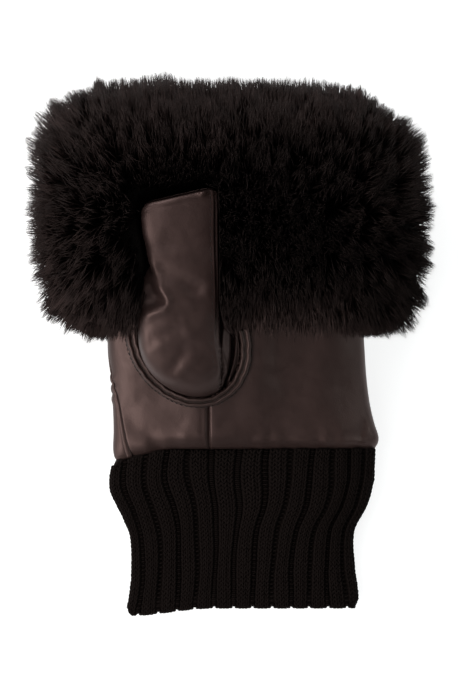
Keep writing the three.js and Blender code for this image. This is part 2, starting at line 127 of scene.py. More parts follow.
# %% [markdown]
# ## Shared effects as node groups
# Three effects come back in several finishes: fine grain, a slow drift of tone, and fibre
# fuzz. Each is a node group, built once, with named inputs, so that the leather, the knit and
# the hair can each use it with other values. A group could hold the whole shader, but then
# the finish would be hard to adjust, so the groups only give masks and heights.

# %% Helpers for shader nodes
def link(tree, source, target):
    """Links an output to an input, or sets the input to a value."""
    if isinstance(source, bpy.types.NodeSocket):
        tree.links.new(source, target)
    else:
        target.default_value = source


def add(tree, kind, values=(), **settings):
    """The outputs of a new node, with its settings and inputs."""
    node = tree.nodes.new("ShaderNode" + kind)
    for name, value in settings.items():
        setattr(node, name, value)
    for name, value in dict(values).items():
        link(tree, value, node.inputs[name])
    return node.outputs


def maths(tree, operation, a, b, clamp=False):
    """A Math node's result."""
    return add(tree, "Math", {0: a, 1: b}, operation=operation, use_clamp=clamp)[0]


def ramp(tree, factor, stops):
    """A colour ramp through (place, colour) stops."""
    node = tree.nodes.new("ShaderNodeValToRGB")
    elements = node.color_ramp.elements
    while len(elements) < len(stops):
        elements.new(0.5)
    for element, (place, colour) in zip(elements, stops):
        element.position = place
        element.color = (*colour, 1)
    link(tree, factor, node.inputs["Fac"])
    return node.outputs["Color"]


def start_group(name, values, results):
    """A group that takes a vector and named values, with its inner ends."""
    tree = bpy.data.node_groups.new(name, "ShaderNodeTree")
    tree.interface.new_socket("Vector", in_out="INPUT", socket_type="NodeSocketVector")
    for label, value in values.items():
        socket = tree.interface.new_socket(label, in_out="INPUT", socket_type="NodeSocketFloat")
        socket.default_value = value
    for label in results:
        tree.interface.new_socket(label, in_out="OUTPUT", socket_type="NodeSocketFloat")
    return tree, tree.nodes.new("NodeGroupInput").outputs, tree.nodes.new("NodeGroupOutput").inputs


def use_group(tree, group, values):
    """The outputs of a group placed in a material with its own values."""
    return add(tree, "Group", values, node_tree=group)


def scaled(tree, colour, tone):
    """A colour made lighter or darker by a tone."""
    grey = add(tree, "CombineXYZ", {"X": tone, "Y": tone, "Z": tone})["Vector"]
    mixed = {"Factor": 1.0, "A": colour, "B": grey}
    return add(tree, "Mix", mixed, data_type="RGBA", blend_type="MULTIPLY")["Result"]


def new_material(name):
    """A material, its nodes, its shader's inputs, and its object's own space."""
    made = bpy.data.materials.new(name)
    made.use_nodes = True
    tree = made.node_tree
    return made, tree, tree.nodes["Principled BSDF"].inputs, add(tree, "TexCoord")["Object"]


def bumped(tree, shader, height, strength, depth):
    """Gives a shader a bump of a depth in millimetres."""
    bump = add(tree, "Bump", {"Height": height, "Strength": strength, "Distance": depth * MM})
    link(tree, bump["Normal"], shader["Normal"])


def mirror(shader, level, tint):
    """Sets how much a surface mirrors, and in what tint."""
    shader["Specular IOR Level"].default_value = level
    shader["Specular Tint"].default_value = (*tint, 1)

# %% The three groups
grain, given, out = start_group(
    "skin_grain", {"Pores per metre": 900.0, "Creases": 0.4}, ["Height", "Shine"]
)
cells = {"Vector": given["Vector"], "Scale": given["Pores per metre"]}
distance = add(grain, "TexVoronoi", cells, feature="DISTANCE_TO_EDGE")["Distance"]
pores = maths(grain, "MULTIPLY", distance, 1.6, clamp=True)
coarser = maths(grain, "MULTIPLY", given["Pores per metre"], 0.16)
creased = {"Vector": given["Vector"], "Scale": coarser, "Detail": 5.0, "Distortion": 0.8}
creases = add(grain, "TexNoise", creased)["Fac"]
crease_height = maths(grain, "MULTIPLY", creases, given["Creases"])
link(grain, maths(grain, "ADD", pores, crease_height), out["Height"])
link(grain, creases, out["Shine"])

drift, given, out = start_group(
    "tone_drift", {"Patches per metre": 30.0, "Strength": 0.3}, ["Tone"]
)
patchy = {"Vector": given["Vector"], "Scale": given["Patches per metre"], "Detail": 3.0}
centred = maths(drift, "SUBTRACT", add(drift, "TexNoise", patchy)["Fac"], 0.5)
swing = maths(drift, "MULTIPLY", centred, given["Strength"])
link(drift, maths(drift, "ADD", swing, 1.0), out["Tone"])

fuzz, given, out = start_group("fibre_fuzz", {"Fibres per metre": 1400.0}, ["Height"])
fibres = {"Vector": given["Vector"], "Scale": given["Fibres per metre"]}
fibres.update({"Detail": 2.0, "Roughness": 0.6})
link(fuzz, add(fuzz, "TexNoise", fibres)["Fac"], out["Height"])

# %% [markdown]
# ## The leather finish
# The real leather is brown-black nappa: smooth, with a grain too fine to see from afar, and a
# soft shine that breaks up where the skin is creased. It could be a flat colour under a
# clear coat, but nappa has no coat. So the shine comes from the roughness, which drifts with
# the creases, and a shallow bump carries the pores. The panels, the thumb and the welt share
# the finish with their own depths of tone.

# %% Leather
def leather_finish(name, colour, roughness, pore_depth, creases, rubbed=None):
    """Nappa in a colour, with perhaps a place, in metres, that is rubbed shiny."""
    made, tree, shader, at = new_material(name)
    skin = use_group(tree, grain, {"Vector": at, "Pores per metre": 1500.0, "Creases": creases})
    tone = use_group(tree, drift, {"Vector": at, "Patches per metre": 24.0, "Strength": 0.7})
    base = ramp(tree, skin["Shine"], [(0.3, [c * 0.82 for c in colour]), (0.7, colour)])
    link(tree, scaled(tree, base, tone["Tone"]), shader["Base Color"])
    rough = maths(tree, "MULTIPLY", skin["Shine"], 0.16)
    rough = maths(tree, "ADD", rough, roughness - 0.08)
    if rubbed is not None:
        far = add(tree, "VectorMath", {0: at, 1: rubbed}, operation="DISTANCE")["Value"]
        worn = {"Value": far, "From Min": 1 * MM, "From Max": 3 * MM, "To Min": 0.25}
        rough = maths(tree, "MULTIPLY", rough, add(tree, "MapRange", worn)["Result"])
    link(tree, rough, shader["Roughness"])
    bumped(tree, shader, skin["Height"], 0.5, pore_depth)
    mirror(shader, 0.5, (1.0, 0.69, 0.64))
    return made


THUMB_CORNER = (-0.0115, 0.0638, 0.0658)
body_leather = leather_finish("glove_leather", (0.025, 0.0146, 0.0132), 0.44, 0.07, 0.9)
thumb_leather = leather_finish(
    "thumb_leather", (0.027, 0.0158, 0.0144), 0.43, 0.06, 0.8, THUMB_CORNER
)
welt_leather = leather_finish("welt_leather", (0.019, 0.0112, 0.0097), 0.43, 0.06, 0.8)
print("made", len(bpy.data.materials), "materials so far")

# %% [markdown]
# ## The form of the glove
# The frame's solids were lofted through short tables of sections. The same tables give the
# fine meshes here, so each fine piece lies on its solid without fitting. A table's rows are
# joined by smooth curves. NumPy works out a whole piece at once, which is quick.

# %% Tables of sections, in millimetres
TABLES_AT = np.array((-0.498, -0.147, 0.0))  # where the tables' origin lies in the frame


def table(text):
    """The columns of a table that is written as a heading over its rows."""
    heading, *rows = [line.split() for line in text.strip().splitlines()]
    return dict(zip(heading, np.array(rows, float).T))


BODY = table("""
y centre half low high
-50 6.9 55.6 0.9 17.6
-43.6 7.1 56 0.5 19.2
-39 7.2 56.2 0.4 21.8
-33 6.4 55.1 1 24.6
-25 5.3 54.3 2.6 27.6
-14 4.2 53.9 5.2 31.2
0 3.1 54 9.4 35.8
15 2.6 53.6 13.4 40.2
30 2.3 53 16.2 43.2
55 2 52.2 17.4 44.5
80 2 51 17.4 44.5
86 2 51 17.4 44.5
""")
SEAMS = table("""
y outer inner
-50 -41 148
-43.6 -41 150
-33 -42 158.5
-22 -43 165
-10 -44 176
5 -44 186
80 -44 190
86 -44 190
""")
BODY_SQUARE = 2.15
HEM_Y = -43.6
OPENING_Y = 80.0
HEM_DROP = 5.6
LEATHER = 1.4

PALM_FOLDS = table("""
from_x from_y to_x to_y width rise
13 8 9 -34 7 1
30 0 24 -36 9 -0.9
-34 -40 2 -38 4 1.1
2 -36 46 -36 5 0.5
-44 -28 -30 -40 4 -1
-8.6 -24 -8.6 -48 14 2.3
18 12 21 -12 5.5 -0.8
12 -40 57 -40.8 1.5 0.85
57.5 -33 55.5 -38 1.6 -0.9
""")
BACK_FOLDS = table("""
from_x from_y to_x to_y width rise
-16 -24 -26 -42 3.5 -1.1
-6 -24 -14 -42 5 0.8
-42 -7.4 42 -7.4 1.7 -0.8
-42 -11.8 42 -11.8 1.7 -0.8
-42 -16.2 42 -16.2 1.7 -0.8
-42 -20.6 42 -20.6 1.7 -0.8
""")
SHIRRED = BACK_FOLDS["from_y"][2:]  # where the rows of shirring cross the back


def row_at(columns, y):
    """A table's row at each place y, on smooth curves through its rows."""
    at = columns["y"]
    i = np.clip(np.searchsorted(at, y, side="right") - 1, 0, len(at) - 2)
    span = at[i + 1] - at[i]
    t = np.clip((y - at[i]) / span, 0, 1)
    row = {}
    for name, column in columns.items():
        rises = np.diff(column) / np.diff(at)
        slope = np.concatenate(
            [rises[:1], (column[2:] - column[:-2]) / (at[2:] - at[:-2]), rises[-1:]]
        )
        straight = column[i + 1] - column[i]
        start, end = slope[i] * span, slope[i + 1] * span
        bend = t * (1 - t) * ((1 - t) * (start - straight) + t * (straight - end))
        row[name] = column[i] + straight * t + bend
    return row


def ease(x, low, high):
    """Rises smoothly from 0 where x is low to 1 where it is high."""
    t = np.clip((x - low) / (high - low), 0, 1)
    return t * t * (3 - 2 * t)


def between(a, b, t):
    return a + (b - a) * t


def halfway(row, a, b):
    """The middle between two columns of a row, and how far it lies from either."""
    return (row[a] + row[b]) / 2, (row[b] - row[a]) / 2


def xyz(x, y, z):
    """Points from their coordinates."""
    return np.stack(np.broadcast_arrays(x, y, z), axis=-1)


def bell(x, width):
    """A smooth hump that is 1 where x is 0 and has run out at twice its width."""
    return np.exp(-((x / width) ** 2))


def ring_point(row, angle, inset=0.0, square=BODY_SQUARE):
    """X and Z of a flattened ring."""
    c, s = np.cos(angle), np.sin(angle)
    mid, rise = halfway(row, "low", "high")
    x = row["centre"] + (row["half"] - inset) * np.sign(c) * np.abs(c) ** (2 / square)
    return x, mid + (rise - inset) * np.sign(s) * np.abs(s) ** (2 / square)


def across_hand(x, y):
    """How far x lies across the hand, from -1 at the thumb's side to 1 at the other side."""
    row = row_at(BODY, y)
    return (x - row["centre"]) / row["half"]


def angle_over(x, y):
    """The angle at which the ring of the hand lies over x."""
    across = across_hand(x, y)
    return np.arccos(np.sign(across) * np.abs(across) ** (BODY_SQUARE / 2))


def fold_rise(folds, x, y):
    """Height that a table of folds adds at each place."""
    total = 0
    for ax, ay, bx, by, width, rise in zip(*folds.values()):
        dx, dy = bx - ax, by - ay
        t = np.clip(((x - ax) * dx + (y - ay) * dy) / (dx**2 + dy**2), 0, 1)
        total = total + rise * bell(np.hypot(x - ax - dx * t, y - ay - dy * t), width)
    return total


def palm_top(x, y):
    """Height of the palm's outer face over each place."""
    mid, rise = halfway(row_at(BODY, y), "low", "high")
    across = np.minimum(np.abs(across_hand(x, y)), 1)
    dome = (1 - across**BODY_SQUARE) ** (1 / BODY_SQUARE)
    return mid + rise * dome + fold_rise(PALM_FOLDS, x, y)

# %% [markdown]
# ## Building blocks for the meshes
# Most pieces are sheets: a grid from bmesh whose vertices are moved to their places, given a
# wall with the solidify operator. A stitch, a knit leg or a hair is a small shape repeated
# thousands of times. Separate objects would be slow, so their vertices are worked out as one
# array and joined in a single mesh.

# %% Mesh helpers
def crumple(x, y, z, size, seed=0.0):
    """Soft noise from -1 to 1 at each place, with hollows about size apart."""
    return np.array([noise.noise(Vector(place)) for place in xyz(x, y, z) / size + seed])


def place_piece(name, mesh, material, replaced):
    """The object of a mesh, smooth, riding on the glove."""
    mesh.polygons.foreach_set("use_smooth", [True] * len(mesh.polygons))
    mesh.materials.append(material)
    piece = bpy.data.objects.new(name, mesh)
    scene.collection.objects.link(piece)
    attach(piece, "root")
    if replaced:
        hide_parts(*replaced)
    mesh.calc_loop_triangles()
    print(name, "has", len(mesh.loop_triangles), "triangles")


def finish_piece(name, bm, material, replaced):
    """The piece of a finished bmesh."""
    mesh = bpy.data.meshes.new(name)
    bm.to_mesh(mesh)
    bm.free()
    place_piece(name, mesh, material, replaced)


def joined_piece(name, template, places, material, replaced=(), values=()):
    """A piece of many small shapes: the template's faces for each row of places."""
    count, size = places.shape[:2]
    faces = (template[None] + (np.arange(count) * size)[:, None, None]).reshape(-1, 3)
    mesh = bpy.data.meshes.new(name)
    mesh.vertices.add(count * size)
    mesh.vertices.foreach_set("co", ((places + TABLES_AT) * MM).ravel())
    mesh.loops.add(faces.size)
    mesh.loops.foreach_set("vertex_index", faces.ravel().astype(np.int32))
    mesh.polygons.add(len(faces))
    mesh.polygons.foreach_set("loop_start", np.arange(0, faces.size, 3, dtype=np.int32))
    mesh.update(calc_edges=True)
    for label, numbers in dict(values).items():
        layer = mesh.attributes.new(label, "FLOAT", "POINT")
        layer.data.foreach_set("value", numbers.astype(np.float32))
    place_piece(name, mesh, material, replaced)


def sheet_grid(across, along, place):
    """A grid of cells whose vertices go to place(u, v), u and v from 0 to 1."""
    bm = bmesh.new()
    bm.loops.layers.uv.new("surface")
    bmesh.ops.create_grid(bm, x_segments=across, y_segments=along, size=1, calc_uvs=True)
    u, v = (np.array([vert.co.xy for vert in bm.verts]).T + 1) / 2
    for vert, point in zip(bm.verts, (place(u, v) + TABLES_AT) * MM):
        vert.co = point
    return bm


def give_wall(bm, thickness):
    """A wall on the inner side of a sheet, once its faces look away from the hand."""
    bmesh.ops.recalc_face_normals(bm, faces=bm.faces)
    centres = np.array([face.calc_center_median()[:] for face in bm.faces]) / MM - TABLES_AT
    normals = np.array([face.normal[:] for face in bm.faces])
    row = row_at(BODY, centres[:, 1])
    away = centres - xyz(row["centre"], centres[:, 1], halfway(row, "low", "high")[0])
    if (away * normals).sum() < 0:
        bmesh.ops.reverse_faces(bm, faces=bm.faces)
    bmesh.ops.solidify(bm, geom=bm.faces[:], thickness=thickness * MM)
    bmesh.ops.recalc_face_normals(bm, faces=bm.faces)


def close_up(bm):
    """Joins the sides of a sheet that goes all the way round, and then its two ends."""
    bmesh.ops.remove_doubles(bm, verts=bm.verts[:], dist=0.01 * MM)
    bmesh.ops.bridge_loops(bm, edges=[edge for edge in bm.edges if edge.is_boundary])
    bmesh.ops.recalc_face_normals(bm, faces=bm.faces)


def unit(vectors):
    """The vectors, each made one long."""
    return vectors / np.maximum(np.linalg.norm(vectors, axis=-1, keepdims=True), 1e-9)


def grain_of_rice(sides, rings):
    """A small round-ended template: unit points, and its triangles."""
    bm = bmesh.new()
    bmesh.ops.create_uvsphere(bm, u_segments=sides, v_segments=rings + 1, radius=1)
    bmesh.ops.triangulate(bm, faces=bm.faces[:])
    bmesh.ops.recalc_face_normals(bm, faces=bm.faces)
    points = np.array([vert.co[:] for vert in bm.verts])
    faces = np.array([[vert.index for vert in face.verts] for face in bm.faces])
    bm.free()
    return points, faces

# %% [markdown]
# ## The palm and the back
# Each panel is cut from one skin and lies round the hand, so a flat plate would be wrong. It
# is a sheet bent round the ring of the hand between its two side seams. Near its edges it
# rolls inwards, as a turned and sewn edge does, which makes the seams show as valleys. The
# leather is eased onto the knit, so it has small puckers just above the hem.

# %% Relief of the leather
PUCKER_PITCH = 9.5
PANEL_WIDE = 128.0  # about how wide a panel is, to turn a share of the way across into millimetres
BARE, FUR_EDGE = 0.72, 22.0  # share of a panel's rows below the fur, and where the fur begins
MID_Z = 22.0  # a place higher than this is on the palm's side of the hand


def soft_relief(x, y, side):
    """Puckers over the hem and the soft crumple of worn leather."""
    near_hem = bell(y - HEM_Y, 8.0)
    wander = crumple(x, y, side * 9, 17.0, 3.0)
    puckers = 0.24 * np.sin(2 * pi * x / PUCKER_PITCH + 5 * wander) * near_hem
    fine = 0.13 * crumple(x, y, side * 9, 5.5, 11.0) + 0.05 * crumple(x, y, side * 9, 2.4, 4.0)
    return puckers + 0.7 * wander + fine


def roll_ends(y, angle):
    """How far the ends of the shirred rolls bulge at the thumb's side."""
    at_side = ease(-np.cos(angle), 0.94, 0.985)
    in_band = ease(y, -25.4, -24.6) * (1 - ease(y, -12.2, -11.4))
    rolls = np.sqrt(np.abs(np.sin(pi * (y + 11.8) / 4.4)))
    return at_side * in_band * (0.9 * rolls - 0.45)


def body_points(y, angle, inset):
    """Points of the body's outer face, with its folds, puckers and soft crumple."""
    x, z = ring_point(row_at(BODY, y), angle, inset - roll_ends(y, angle))
    side = np.sin(angle)
    rise = np.where(side > 0, fold_rise(PALM_FOLDS, x, y), fold_rise(BACK_FOLDS, x, y))
    rise = rise + soft_relief(x, y, side)
    z = z + np.sign(side) * ease(np.abs(side), 0.25, 0.6) * rise
    drop = HEM_DROP * (1 - ease(x, -52, -22)) * (1 - ease(y, HEM_Y, -22))
    return xyz(x, y - drop, np.maximum(z, 0.2))


def palm_height(x, y):
    """Height of the palm's outer face with its soft relief."""
    side = np.sqrt(1 - np.minimum(np.abs(across_hand(x, y)), 0.999) ** BODY_SQUARE)
    return palm_top(x, y) + ease(side, 0.25, 0.6) * soft_relief(x, y, side)

# %% Panels between their seams
SEAM_X = -8.8
EDGE_ROLL = 1.15  # how far in from its edge a panel rolls down to the seam
CLOSER, CLOSE_WIDTH = 0.75, 0.035  # how much closer the columns stand by the seam, over a share


def closer_at(u, middle):
    """Shares of the way across, moved closer together round a middle."""
    pulled = CLOSER * CLOSE_WIDTH
    centre = middle * (1 - 2 * pulled) + pulled
    return (u - pulled * np.tanh((u - centre) / CLOSE_WIDTH) - pulled) / (1 - 2 * pulled)


def panel(across, along, start, end):
    """A panel between two seams, finer over the bare leather than under the fur."""

    def place(u, v):
        y = np.interp(v, (0, BARE, 1), (HEM_Y, FUR_EDGE, OPENING_Y))
        seams = row_at(SEAMS, y)
        first, last = np.radians(start(seams)), np.radians(end(seams))
        middle = (angle_over(SEAM_X, y) - first) / (last - first)
        if middle.max() < 1 and middle.min() > 0:
            u = np.clip(closer_at(u, middle), 0, 1)
        angle = between(first, last, u)
        sink = 0.5 * bell(np.minimum(u, 1 - u) * PANEL_WIDE, EDGE_ROLL)
        sink += 0.75 * bell(y - HEM_Y, EDGE_ROLL) + 0.9 * bell(OPENING_Y - y, EDGE_ROLL)
        sink += 0.7 * bell(y - HEM_Y, 3.2)
        return body_points(y, angle, 0.05 + sink + extra_sink(y, angle))

    return sheet_grid(across, along, place)


def extra_sink(y, angle):
    """The groove of the palm's seam, and a crease to its left."""
    away = ring_point(row_at(BODY, y), angle)[0] - SEAM_X
    groove = 1.7 * bell(away, 0.62) + 0.3 * bell(away, 2.4)
    crease = 0.16 * bell(away + 2.6, 0.8)
    return np.where((np.sin(angle) > 0.5) & (y < -20), groove + crease, 0)

# %% Thumb hole
HOLE_X, HOLE_Y, HOLE_LONG, HOLE_SHORT, HOLE_LEAN = -17.0, 2.7, 26.0, 20.5, radians(118)


def hole_edge(angle, offset):
    """A point of the thumb hole's edge: 0 is its outer side, 90 degrees towards the wrist."""
    turn = angle + HOLE_LEAN
    radius = 1 / np.hypot(np.cos(turn) / HOLE_LONG, np.sin(turn) / HOLE_SHORT) + offset
    return HOLE_X + np.cos(angle) * radius, HOLE_Y - np.sin(angle) * radius


palm = panel(216, 100, lambda seams: seams["outer"] + 0.3, lambda seams: seams["inner"] - 0.9)


def over_hole(place):
    """True where a place of the palm lies over the thumb hole."""
    x, y, z = np.array(place) / MM - TABLES_AT
    edge_x, edge_y = hole_edge(atan2(HOLE_Y - y, x - HOLE_X), 0.0)
    inside = hypot(x - HOLE_X, y - HOLE_Y) < hypot(edge_x - HOLE_X, edge_y - HOLE_Y)
    return inside and z > MID_Z


holed = [face for face in palm.faces if over_hole(face.calc_center_median())]
bmesh.ops.delete(palm, geom=holed, context="FACES")
give_wall(palm, LEATHER)
finish_piece("palm_leather", palm, body_leather, ["palm_panel"])

back = panel(96, 110, lambda seams: seams["inner"] + 0.9, lambda seams: 360 + seams["outer"] - 0.3)
give_wall(back, LEATHER)
finish_piece("back_leather", back, body_leather, ["back_panel"])

# %% [markdown]
# ## The thumb
# The thumb is a tube of the same leather with an open, turned end. It grows out of the hole
# in the palm and lies back over the fur, so its sections tilt. A bent cylinder would have
# no heel, so the tube goes through a table of sections from the hole to the end. A raised
# seam runs along its outer side, and it is pinched and creased where the hand bends.

# %% Thumb sections and folds
THUMB = table("""
y front_y front_z back_y back_z left right follow lift
0 -21.4 27 27 41.3 -38.2 4.2 1 -0.9
1 -20.8 31.5 27.2 43.4 -38.2 3.2 0.8 2.2
2 -17.8 38.5 28.4 45.2 -38.2 0.2 0.35 6
3 -10.5 45.2 30.5 46.4 -38 -2.6 0.1 9
4 0 50.2 33 47.2 -37.6 -3.8 0 0
5 12 55.2 36 47.6 -36.6 -4 0 0
6 24 58.8 40 48.2 -34.3 -4 0 0
7 35 61.2 44.5 48.9 -34.5 -4.1 0 0
8 46 63 50.5 49.6 -36 -4.1 0 0
9 55.5 64.3 58 50.2 -36.6 -4.2 0 0
10 62 65.1 63.5 50.6 -36.7 -4.6 0 0
""")
THUMB_FOLDS = table("""
from_x from_y to_x to_y width rise
-34 38 -31.5 29 2.8 0.9
-31.5 27.5 -25.4 19 2 1.2
-37 11.5 -27.2 15 2.2 1.2
-11 63.5 -10.4 63.7 1.5 1.6
-28 31 -13 23.5 3.4 -1.4
-25 43 -9 38 4 -0.5
-24 -9 -19 -3 2.2 -0.7
-21 -11.5 -16 -6 2 0.5
-15 -18 -9 -15 2 0.4
-19 12 -18 5 2.2 0.3
-32 2 -24 6 2.4 -0.4
-33 -3 -26 0 2.4 0.3
-9 17 -20 12 2.2 -0.4
-9 11 -16 4 2.2 0.3
""")
THUMB_SLANT = 0.23
FLATTER, FLATTER_RIGHT = 0.36, 0.2  # how much flatter than an ellipse the thumb's sections are
CORNER_WIDE, CORNER_LONG = 4.5, 2.6  # rounding of the corners at the thumb's end
GAP = 0.35


# Angle of the raised seam, and how deep the gusset beside it folds in, by the thumb's sections
THUMB_SEAM = table("""
y angle fold
0 58 0
1 55 0
2 46 1
3 35 1.4
4 31 1
5 27 0.5
6 29 0.1
8 32 0
10 29 0.0
""")


def thumb_inset(step, angle, half):
    """How far the thumb's face sinks at gusset and hem, and rises at its seam."""
    seam = row_at(THUMB_SEAM, step)
    beside = (angle - np.radians(seam["angle"])) * half
    ridges = bell(beside, 0.6) + 0.8 * bell(beside + 3.6, 0.8)
    groove = bell(beside + 1.9, 0.7)
    gusset = ease(-beside, 4.4, 8.0) * (1 - ease(-beside, 14, 20))
    hem = (10 - step) * 6.5
    turned_edge = 0.12 * bell(hem - 3.1, 0.8) + 0.7 * bell(hem, 0.8)
    waist = 2.0 * bell(step - 5.9, 0.6) * ease(-np.cos(angle), 0.55, 0.95)
    return seam["fold"] * gusset - 0.42 * ridges + 0.6 * groove + turned_edge + waist

# %% Hollows of the thumb
HOLE_RIGHT = np.array([hole_edge(turn, 0.0) for turn in np.radians(np.arange(75, -80, -3))]).T
THUMB_EDGE = table("""
y x
-20 -3.6
-12 -3.7
-5 -3.9
2 -4.6
9 -4.3
20 -4
30 -4.2
""")
VALLEY, SLIT, CREASE = 1.4, 7.0, 3.0  # depths of the gusset, of its slit and at the thumb's foot
PINCH_TOP, PINCH_TIP, PINCH_LOW = (-36.5, 35.5), (-23.9, 16.6), (-38.0, 12.6)
PINCH, PINCH_ROUND = 8.0, 1.1  # depth of the hollow, and how round the tip of its V is


def pinch_depth(x, y):
    """The hollow at the thumb's left side, between two creases that meet in a V."""
    total = 0.0
    for (ax, ay), (bx, by) in ((PINCH_TOP, PINCH_TIP), (PINCH_TIP, PINCH_LOW)):
        inside = ((x - ax) * (by - ay) - (y - ay) * (bx - ax)) / hypot(bx - ax, by - ay)
        total = total + np.exp(-np.clip(inside, -20, 20) / PINCH_ROUND)
    inside = np.maximum(-PINCH_ROUND * np.log(total), 0)
    return PINCH * inside**2 / (inside**2 + 2.4**2)


def valley_depth(x, y):
    """How deep the gusset lies beside the thumb: a pleat with a slit in it."""
    edge = np.interp(y, THUMB_EDGE["y"], THUMB_EDGE["x"])
    far = np.maximum(np.interp(y, HOLE_RIGHT[1], HOLE_RIGHT[0]) - GAP, edge + 1.5)
    share = (x - edge) / (far - edge)
    valley = ease(share, 0.0, 0.12) * (1 - ease(share, 0.94, 1.0))
    slit = bell(share - np.clip(0.69 + 0.012 * y, 0.58, 0.8), 0.085)
    foot = bell(share - 0.09, 0.06 + 0.09 * ease(y, -4, 12))
    return valley * (VALLEY + SLIT * slit + CREASE * foot)

# %% Thumb tube
def thumb_points(step, angle, inset):
    """Points of the thumb's outer face at a step between its sections."""
    row = row_at(THUMB, step)
    free = 1 - row["follow"]
    c, s = np.cos(angle), np.sin(angle)
    mid_x, half = halfway(row, "left", "right")
    mid_y, ahead = halfway(row, "back_y", "front_y")
    mid_z, above = halfway(row, "back_z", "front_z")
    inset = inset + thumb_inset(step, angle, half)
    wide = (half - inset) * c
    flatter = (FLATTER + FLATTER_RIGHT * ease(c, 0, 0.6)) * free
    high = (1 - inset / np.hypot(ahead, above)) * np.sign(s) * np.abs(s) ** (1 - flatter)
    x, y, z = mid_x + wide, mid_y + ahead * high, mid_z + above * high
    y = y + THUMB_SLANT * wide * free * ease(y, 38, 62)
    from_side = half - inset - np.abs(wide)
    corner = 1 - np.sqrt(1 - np.clip(1 - from_side / CORNER_WIDE, 0, 1) ** 2)
    y = y - CORNER_LONG * corner * ease(step, 8.4, 10)
    low = 1 - ease(y, 8, 40)
    wrinkles = 0.34 * crumple(x, y, z, 9.0, 5.0)
    wrinkles += (0.06 + 0.26 * low) * crumple(x, y * 1.5, z, 5.5, 9.0)
    wrinkles += (0.07 + 0.05 * low) * crumple(x, y, z, 2.6, 21.0)
    rise = fold_rise(THUMB_FOLDS, x, y) + wrinkles - pinch_depth(x, y)
    z = z + np.where(s > 0, s * rise * free, 0)
    edge_x, edge_y = hole_edge(angle, -GAP - inset)
    seat = palm_top(edge_x, edge_y) + row["lift"]
    follow = np.clip(row["follow"], 0, 1)
    x, y, z = between(x, edge_x, follow), between(y, edge_y, follow), between(z, seat, follow)
    return xyz(x, y, z - valley_depth(x, y) * (1 - ease(step, 3.5, 4.6)))


def thumb_wall(u, v):
    """Out along the outer face, over the turned end, and back inside."""
    inner = ease(v, 0.495, 0.505)
    step = 10 * np.clip((0.5 - np.abs(v - 0.5)) / 0.495, 0, 1)
    return thumb_points(step, 2 * pi * u, between(0.05, LEATHER, inner))


thumb = sheet_grid(120, 210, thumb_wall)
close_up(thumb)
finish_piece("thumb_leather", thumb, thumb_leather, ["thumb"])

# %% [markdown]
# ## The welt round the thumb hole
# A narrow strip covers the edge of the hole like a piping, with two rolls and a line of
# stitches in the dip between them. A bent tube would have only one roll. So it is a profile
# that follows the hole's edge for a little more than half a turn, and is wider at the sides.

# %% Welt
WELT = table("""
y out up
0 0.2 -0.2
1 0.15 0.7
2 0.8 1.35
3 1.45 0.85
4 1.8 0.4
5 2.15 0.85
6 2.75 1.3
7 3.4 0.6
8 3.5 -0.2
""")
WELT_FROM, WELT_TO = radians(-10), radians(190)


def welt_wide(turn):
    """How much wider than its profile the welt is, most at its sides."""
    return 1.12 + 0.26 * np.cos(turn) ** 2


def welt_points(u, v):
    profile = row_at(WELT, 8 * u)
    turn = between(WELT_FROM, WELT_TO, v)
    strays = 0.2 * np.sin(23 * turn) * np.sin(7 * turn)
    x, y = hole_edge(turn, profile["out"] * welt_wide(turn) + strays)
    tug = 0.12 * crumple(x, y, profile["up"], 1.7, 6.0)
    return xyz(x, y, palm_height(x, y) + 0.85 + profile["up"] + tug)


welt = sheet_grid(20, 120, welt_points)
give_wall(welt, 0.35)
finish_piece("welt_leather", welt, welt_leather, ["thumb_welt"])

# %% [markdown]
# ## Seams and stitches
# The palm's own seam, from the thumb hole down to the hem, is a groove in its panel. The two
# side seams stand up a little, so each is a slim roll of leather laid over the panels' edges.
# Thread shows on the welt, along the thumb's seam, and in the rows of shirring that gather the
# back of the hand. A drawn line would lie flat, so each stitch is a small grain of its own.

# %% Side seams and stitches
SEAM_WIDE = 0.085  # width of a side seam, in radians round the hand
THUMB_HALF = 15.5  # half the thumb's width


def side_seam_points(side):
    """A slim roll of leather over a side seam, from the hem to the fur."""

    def place(u, v):
        y = between(HEM_Y + 0.3, 12.0, v)
        angle = np.radians(row_at(SEAMS, y)[side]) + (u - 0.5) * SEAM_WIDE
        across = 2 * u - 1
        return body_points(y, angle, 0.5 - 0.72 * np.sqrt(np.maximum(1 - across**2, 0)))

    return place


for side in ("inner", "outer"):
    seam = sheet_grid(8, 60, side_seam_points(side))
    give_wall(seam, 0.3)
    finish_piece(side + "_side_seam", seam, body_leather, ["palm_panel", "back_panel"])

# %% Stitches
thread, tree, shader, at = new_material("sewing_thread")
fibre = use_group(tree, fuzz, {"Vector": at, "Fibres per metre": 3200.0})["Height"]
tones = [(0.3, (0.006, 0.0042, 0.0036)), (0.8, (0.022, 0.015, 0.0125))]
link(tree, ramp(tree, fibre, tones), shader["Base Color"])
shader["Roughness"].default_value = 0.6

UP = np.array((0.0, 0.0, 1.0))
grain_points, grain_faces = grain_of_rice(6, 2)


def laid_stitches(at, ahead, up, long, thick):
    """Points of stitches that lie along ahead, with up as their outer side."""
    ahead = unit(ahead)
    sideways = unit(np.cross(up, ahead))
    over = np.cross(ahead, sideways)
    axes = np.stack([sideways, over, ahead], axis=1)
    return at[:, None] + (grain_points * (thick / 2, thick / 2, long / 2)) @ axes


def welt_stitches(out, lift, long, thick):
    """A line of stitches round the welt."""
    turns = np.linspace(WELT_FROM + 0.05, WELT_TO - 0.05, 46)
    x, y = hole_edge(turns, out * welt_wide(turns))
    line = xyz(x, y, palm_height(x, y) + lift)
    return laid_stitches(line, np.gradient(line, axis=0), UP, long, thick)


